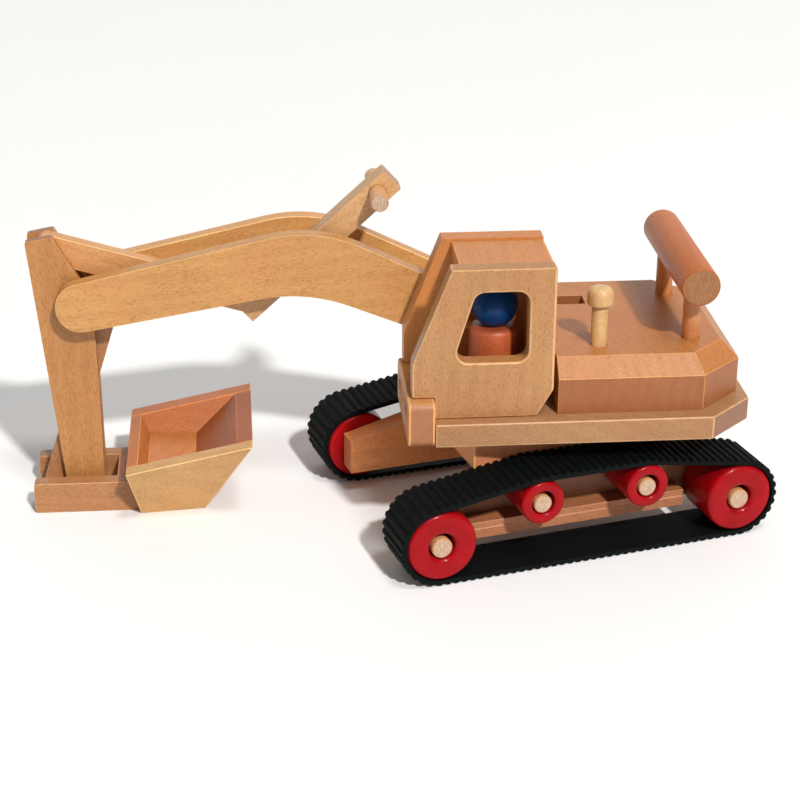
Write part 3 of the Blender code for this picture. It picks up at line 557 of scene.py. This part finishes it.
# Tones of a dowel's side and of the light and dark parts of its ends
END_LIGHT = linear(206, 178, 152)
END_DARK = linear(158, 122, 98)
PLAIN_TONES = (DOWEL_TONE, END_LIGHT, END_DARK)
DOWEL_TONES = {
    "handle_bar": (HANDLE_TONE, linear(163, 115, 77), linear(125, 80, 51)),
    "handle_post_near": (POST_TONE, END_LIGHT, END_DARK),
    "handle_post_far": (POST_TONE, END_LIGHT, END_DARK),
}

# node: (body, axis)
DOWELS = {
    "boom_pivot_dowel": ("house", ALONG_Y),
    "stick_dowel": ("boom", ALONG_Y),
    "link_dowel": ("boom", ALONG_Y),
    "lever_dowel": ("boom", ALONG_Y),
    "lever_grip": ("lever", ALONG_Y),
    "rod_dowel": ("lever", ALONG_Y),
    "stick_top_dowel": ("stick", ALONG_Y),
    "bucket_dowel": ("bucket", ALONG_Y),
    "link_foot_dowel": ("bucket", ALONG_Y),
    "handle_post_near": ("house", ALONG_Z),
    "handle_post_far": ("house", ALONG_Z),
    "handle_bar": ("house", ALONG_Y),
}


def dowel_piece(name, wood, radius, length, edge, axis, seed, tones):
    """Dowel standing on the origin, with its grain set for the axis it is laid along later."""
    tone, end_light, end_dark = tones
    side = beech(f"dowel_{wood}", axis, seed, tone)
    end = end_grain(f"dowel_end_{wood}", seed, end_light, end_dark, axis)
    profile = dowel_profile(radius, -length / 2, length / 2, edge)
    return new_piece(name, turned(profile, DOWEL_SEGMENTS, end_rows=2), (side, end))


def straight_dowel(node, body, axis, seed):
    """Finely turned dowel in the box of its CAD node."""
    low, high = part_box(node)
    size = high - low
    length = size.dot(Vector(axis))
    radius = (size.x + size.y + size.z - length) / 4
    edge = HANDLE_ROUND if node == "handle_bar" else DOWEL_ROUND
    tones = DOWEL_TONES.get(node, PLAIN_TONES)
    made = dowel_piece(f"turned_{node}", node, radius, length, edge, axis, 40 + seed, tones)
    lay(made, (low + high) / 2, axis)
    take_place(made, node, body)


def make_plugs():
    """Two turned plugs glued into the front board, one towards each side."""
    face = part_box("front_board")[0].x
    length = PLUG_PROUD + PLUG_DEPTH
    for seed, (place, y) in enumerate(PLUG_PLACES.items(), 56):
        made = dowel_piece(f"headlight_plug_{place}", f"headlight_{place}", PLUG_RADIUS, length,
                           PLUG_ROUND, ALONG_X, seed, PLAIN_TONES)
        lay(made, Vector((face - PLUG_PROUD + length / 2, y, PLUG_HEIGHT)), ALONG_X)
        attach(made, "house")


def track_place(x, y, z):
    """World place of a point given about the swing axis, with x along the tracks."""
    turn = Matrix.Rotation(TRACK_YAW, 3, "Z")
    return SWING_AXIS + turn @ Vector((x, y, z))


TRACK_ACROSS = Matrix.Rotation(TRACK_YAW, 3, "Z") @ Vector((0, 1, 0))


def make_axle(node, x, z, radius, span, seed):
    """Axle dowel across the tracks, hanging slightly below the middle of its wheels."""
    made = dowel_piece(f"turned_{node}", node, radius, span[1] - span[0], AXLE_ROUND,
                       TRACK_ACROSS, 60 + seed, PLAIN_TONES)
    lay(made, track_place(x, (span[0] + span[1]) / 2, z - AXLE_DROP), TRACK_ACROSS)
    take_place(made, node, "undercarriage")


def wheel_profile(radius, bore, width, rim, mouth):
    """Wheel section: rounded rims and a rounded mouth at each end of the bore."""
    profile = arc((bore + mouth, mouth), mouth, 180, 270, 6)
    profile += arc((radius - rim, rim), rim, -90, 0, 7)
    profile += arc((radius - rim, width - rim), rim, 0, 90, 7)
    profile += arc((bore + mouth, width - mouth), mouth, 90, 180, 6)
    return profile


def make_wheel(node, x, side, z, radius, bore, rim, mouth, look):
    """Turned wheel between a side's two track planes, riding on its own body."""
    width = TRACK_OUTER - TRACK_INNER
    profile = wheel_profile(radius, bore, width, rim, mouth)
    made = new_piece(f"turned_{node}", turned(profile, WHEEL_SEGMENTS), (look,), 50)
    start = TRACK_INNER if side > 0 else -TRACK_OUTER
    lay(made, track_place(x, start, z), TRACK_ACROSS)
    take_place(made, node, f"{node}_body")


RED_PAINT = linear(163, 7, 17)
RED_SHADE = linear(134, 3, 11)


def make_running_gear():
    """Wheels and rollers with their axles, on both sides."""
    seed = 0
    for place, side in (("near", -1), ("far", 1)):
        for end, sign in (("front", -1), ("rear", 1)):
            seed += 1
            look = lacquer(f"red_lacquer_{place}_{end}", seed, RED_PAINT, RED_SHADE, 0.30)
            make_wheel(f"wheel_{place}_{end}", sign * BIG_WHEEL_X, side, BIG_WHEEL_Z,
                       BIG_WHEEL_RADIUS, BIG_WHEEL_BORE, BIG_WHEEL_RIM, BIG_WHEEL_MOUTH, look)
            make_wheel(f"roller_{place}_{end}", sign * SMALL_WHEEL_X, side, SMALL_WHEEL_Z,
                       SMALL_WHEEL_RADIUS, SMALL_WHEEL_BORE, SMALL_WHEEL_RIM, SMALL_WHEEL_MOUTH, look)
            span = sorted(side * reach for reach in WHEEL_AXLE_SPAN)
            make_axle(f"wheel_axle_{place}_{end}", sign * BIG_WHEEL_X, BIG_WHEEL_Z,
                      WHEEL_AXLE_RADIUS, span, seed)
    for seed, (end, sign) in enumerate((("front", -1), ("rear", 1)), 6):
        make_axle(f"roller_axle_{end}", sign * SMALL_WHEEL_X, SMALL_WHEEL_Z,
                  ROLLER_AXLE_RADIUS, ROLLER_AXLE_SPAN, seed)


# ----------------------------------------------------------------------- belts

def belt_path(clearance):
    """Closed path round the wheels as (point, outward normal) spots."""
    wheels = [
        (BIG_WHEEL_X, BIG_WHEEL_Z, BIG_WHEEL_RADIUS),
        (SMALL_WHEEL_X, SMALL_WHEEL_Z, SMALL_WHEEL_RADIUS),
        (-SMALL_WHEEL_X, SMALL_WHEEL_Z, SMALL_WHEEL_RADIUS),
        (-BIG_WHEEL_X, BIG_WHEEL_Z, BIG_WHEEL_RADIUS),
    ]
    normals = []
    for index, (x, z, radius) in enumerate(wheels):
        next_x, next_z, next_radius = wheels[(index + 1) % len(wheels)]
        heading = math.atan2(next_z - z, next_x - x)
        distance = math.hypot(next_x - x, next_z - z)
        normals.append(heading - math.acos((radius - next_radius) / distance))
    spots = []
    for index, (x, z, radius) in enumerate(wheels):
        start = normals[index - 1]
        turn = (normals[index] - start) % math.tau
        steps = max(2, math.ceil(turn / math.radians(2)))
        for step in range(steps + 1):
            angle = start + turn * step / steps
            normal = Vector((math.cos(angle), math.sin(angle)))
            spots.append((Vector((x, z)) + normal * (radius + clearance), normal))
    return spots


def path_lengths(spots):
    """Distance along a closed path to each of its spots, and last the way all round."""
    lengths = [0.0]
    for index, (point, _) in enumerate(spots):
        after = spots[(index + 1) % len(spots)][0]
        lengths.append(lengths[-1] + (after - point).length)
    return lengths


def resample(spots, count):
    """Even samples along a closed path of (point, normal) spots."""
    lengths = path_lengths(spots)
    samples = []
    place = 0
    for number in range(count):
        target = lengths[-1] * number / count
        while lengths[place + 1] < target:
            place += 1
        point, normal = spots[place]
        next_point, next_normal = spots[(place + 1) % len(spots)]
        span = lengths[place + 1] - lengths[place]
        share = (target - lengths[place]) / span if span > 0 else 0
        samples.append((point.lerp(next_point, share), normal.lerp(next_normal, share).normalized()))
    return samples


def make_belt(node, side, look):
    """Rubber loop with ribs across its outer face, a plain inner face and eased side edges."""
    groove = BELT_THICKNESS - RIB_HEIGHT
    spots = belt_path(BELT_GAP)
    ribs = round(path_lengths(spots)[-1] / RIB_PITCH)
    samples = resample(spots, ribs * SAMPLES_PER_RIB)
    low, high = sorted((side * TRACK_INNER, side * TRACK_OUTER))
    solid = bmesh.new()
    rings = []
    for rib in range(ribs):
        for share, rise in RIB_SECTION:
            point, normal = samples[rib * SAMPLES_PER_RIB + round(share * SAMPLES_PER_RIB)]
            reach = groove + rise * RIB_HEIGHT
            section = (
                (low, BELT_INNER_EDGE), (low, reach - BELT_EDGE), (low + BELT_EDGE, reach),
                (high - BELT_EDGE, reach), (high, reach - BELT_EDGE), (high, BELT_INNER_EDGE),
                (high - BELT_INNER_EDGE, 0.0), (low + BELT_INNER_EDGE, 0.0),
            )
            ring = []
            for across, out in section:
                spot = point + normal * out
                ring.append(solid.verts.new(track_place(spot.x, across, spot.y)))
            rings.append(ring)
    for index, ring in enumerate(rings):
        after = rings[(index + 1) % len(rings)]
        for corner in range(len(ring)):
            beside = (corner + 1) % len(ring)
            solid.faces.new((ring[corner], ring[beside], after[beside], after[corner]))
    made = new_piece(f"ribbed_{node}", solid, (look,), 24)
    take_place(made, node, "undercarriage")


def make_belts():
    """The near belt and the far one, each of its own rubber."""
    for seed, (node, side) in enumerate((("track_belt_near", -1), ("track_belt_far", 1))):
        look = rubber(f"rubber_{node}", seed, linear(3, 8, 8), linear(15, 26, 26))
        make_belt(node, side, look)


# ------------------------------------------------------------- peg and driver

def make_peg():
    """Lock peg with a domed mushroom head and a narrow neck under it."""
    low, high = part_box("lock_peg")
    middle = (low + high) / 2
    neck = high.z - PEG_HEAD_HEIGHT
    foot = 0.0008
    brim = 0.0014
    dome = 0.0062
    waist = PEG_RADIUS - 0.0006
    profile = [(0, low.z), (PEG_RADIUS * 0.5, low.z)]
    profile += arc((PEG_RADIUS - foot, low.z + foot), foot, -90, 0, 3)
    profile += [(PEG_RADIUS, neck - 0.0010), (waist, neck - 0.0003)]
    profile += [(waist, neck), (PEG_HEAD_RADIUS - brim, neck + 0.0002)]
    profile += arc((PEG_HEAD_RADIUS - brim, neck + brim), brim, -80, 0, 5)
    profile += arc((PEG_HEAD_RADIUS - dome, high.z - dome), dome, 0, 84, 10)
    profile += [(0.0014, high.z), (0, high.z)]
    side = beech("dowel_lock_peg", ALONG_Z, 71, PEG_TONE, BRIGHT_CUT)
    made = new_piece("turned_lock_peg", turned(profile, DOWEL_SEGMENTS), (side,), 46)
    lay(made, Vector((middle.x, middle.y, 0)), ALONG_Z)
    take_place(made, "lock_peg", "peg")


def make_driver():
    """Peg figure: a turned wooden body with a lacquered ball on it."""
    low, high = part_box("driver_body")
    middle = (low + high) / 2
    foot = 0.0012
    shoulder = 0.0044
    profile = [(0, low.z), (DRIVER_RADIUS * 0.5, low.z)]
    profile += arc((DRIVER_RADIUS - foot, low.z + foot), foot, -90, 0, 4)
    profile += arc((DRIVER_RADIUS - shoulder, high.z - shoulder), shoulder, 0, 90, 9)
    profile += [(DRIVER_RADIUS * 0.5, high.z), (0, high.z)]
    wood = beech("beech_driver_body", ALONG_Z, 72, DRIVER_TONE)
    body = new_piece("turned_driver_body", turned(profile, DRIVER_SEGMENTS), (wood,))
    lay(body, Vector((middle.x, middle.y, 0)), ALONG_Z)
    take_place(body, "driver_body", "driver")

    low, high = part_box("driver_head")
    centre = high.z - DRIVER_BALL_RADIUS
    start = -math.degrees(math.asin((centre - low.z) / DRIVER_BALL_RADIUS))
    profile = [(0, low.z)] + arc((0, centre), DRIVER_BALL_RADIUS, start, 89, 34) + [(0, high.z)]
    blue = lacquer("blue_lacquer_head", 9, linear(6, 64, 118), linear(4, 42, 90), 0.32)
    head = new_piece("turned_driver_head", turned(profile, DRIVER_SEGMENTS), (blue,))
    lay(head, Vector((middle.x, middle.y, 0)), ALONG_Z)
    take_place(head, "driver_head", "driver")


# --------------------------------------------------------- camera, light, floor

def make_camera():
    """Long lens, looking slightly down on the machine's near side."""
    data = bpy.data.cameras.new("camera")
    camera = bpy.data.objects.new("camera", data)
    bpy.context.scene.collection.objects.link(camera)
    camera.location = (-0.11208, -1.29143, 0.64728)
    azimuth = math.radians(4.42)
    down = math.radians(23.44)
    look = Vector((
        math.sin(azimuth) * math.cos(down), math.cos(azimuth) * math.cos(down), -math.sin(down),
    ))
    camera.rotation_euler = look.to_track_quat("-Z", "Y").to_euler()
    data.sensor_width = 36
    data.lens = 88.31
    data.shift_x = 0.0238
    data.shift_y = -0.0076
    bpy.context.scene.camera = camera


# The lamps stand far off, so that they light the floor evenly
LAMP_DISTANCE = 12.0

# Floor sheet: flat just below the machine, then curving up into a backdrop
FLOOR_DROP = 0.0002
FLOOR_HALF_WIDTH = 16.0
FLOOR_NEAR = -12.0
FLOOR_CURVE_START = 3.0
FLOOR_CURVE_RADIUS = 2.5
BACKDROP_HEIGHT = 6.0


def area_light(name, azimuth, elevation, size, power, colour):
    """Soft lamp aimed at the machine, placed by its bearing right of the camera side."""
    data = bpy.data.lights.new(name, "AREA")
    data.shape = "DISK"
    data.size = size
    data.energy = power
    data.color = colour
    lamp = bpy.data.objects.new(name, data)
    bpy.context.scene.collection.objects.link(lamp)
    across = math.radians(azimuth)
    up = math.radians(elevation)
    target = Vector((0, 0, 0.08))
    lamp.location = target + LAMP_DISTANCE * Vector((
        math.sin(across) * math.cos(up), -math.cos(across) * math.cos(up), math.sin(up),
    ))
    lamp.rotation_euler = (target - lamp.location).to_track_quat("-Z", "Y").to_euler()


def make_world(strength):
    """Even white surround."""
    world = bpy.data.worlds.new("studio")
    world.use_nodes = True
    background = world.node_tree.nodes["Background"]
    background.inputs["Color"].default_value = (1.0, 1.0, 1.0, 1)
    background.inputs["Strength"].default_value = strength
    bpy.context.scene.world = world


def make_floor():
    """Large plain sheet that curves up far behind the machine."""
    solid = bmesh.new()
    reach = FLOOR_CURVE_RADIUS
    section = [(FLOOR_NEAR, 0.0)]
    section += [(FLOOR_CURVE_START + back, 0.0) for back in (-0.5, -0.25, 0.0)]
    for step in range(1, 17):
        angle = math.radians(90 * step / 16)
        section.append((FLOOR_CURVE_START + reach * math.sin(angle), reach - reach * math.cos(angle)))
    section.append((FLOOR_CURVE_START + reach, BACKDROP_HEIGHT))
    sides = (-FLOOR_HALF_WIDTH, FLOOR_HALF_WIDTH)
    rows = [[solid.verts.new((x, y, z - FLOOR_DROP)) for x in sides] for y, z in section]
    for lower, upper in zip(rows, rows[1:]):
        solid.faces.new((lower[0], lower[1], upper[1], upper[0]))
    made = Nodes("paper")
    cloud = made.noise(made.mapping((1, 1, 1)), 3, 2, 0.5)
    tone = made.blend(cloud, (0.90, 0.90, 0.90, 1), (0.92, 0.92, 0.92, 1))
    made.join(tone, made.shader.inputs["Base Color"])
    made.shader.inputs["Roughness"].default_value = 0.9
    made.shader.inputs["Specular IOR Level"].default_value = 0.1
    floor = new_piece("studio_floor", solid, (made.material,))


def make_studio():
    """Pale floor, two soft lamps and an even surround."""
    bpy.context.scene.view_settings.view_transform = "Standard"
    bpy.context.scene.view_settings.look = "None"
    make_floor()
    make_world(0.26)
    area_light("key", 20, 42, 0.75, 1290, (1.0, 0.98, 0.95))
    area_light("top", 28, 67, 2.4, 340, (1.0, 0.99, 0.97))


make_camera()
dress_boards()
for number, (node_name, (body_name, along)) in enumerate(DOWELS.items()):
    straight_dowel(node_name, body_name, along, number)
make_plugs()
make_running_gear()
make_belts()
make_peg()
make_driver()
make_studio()
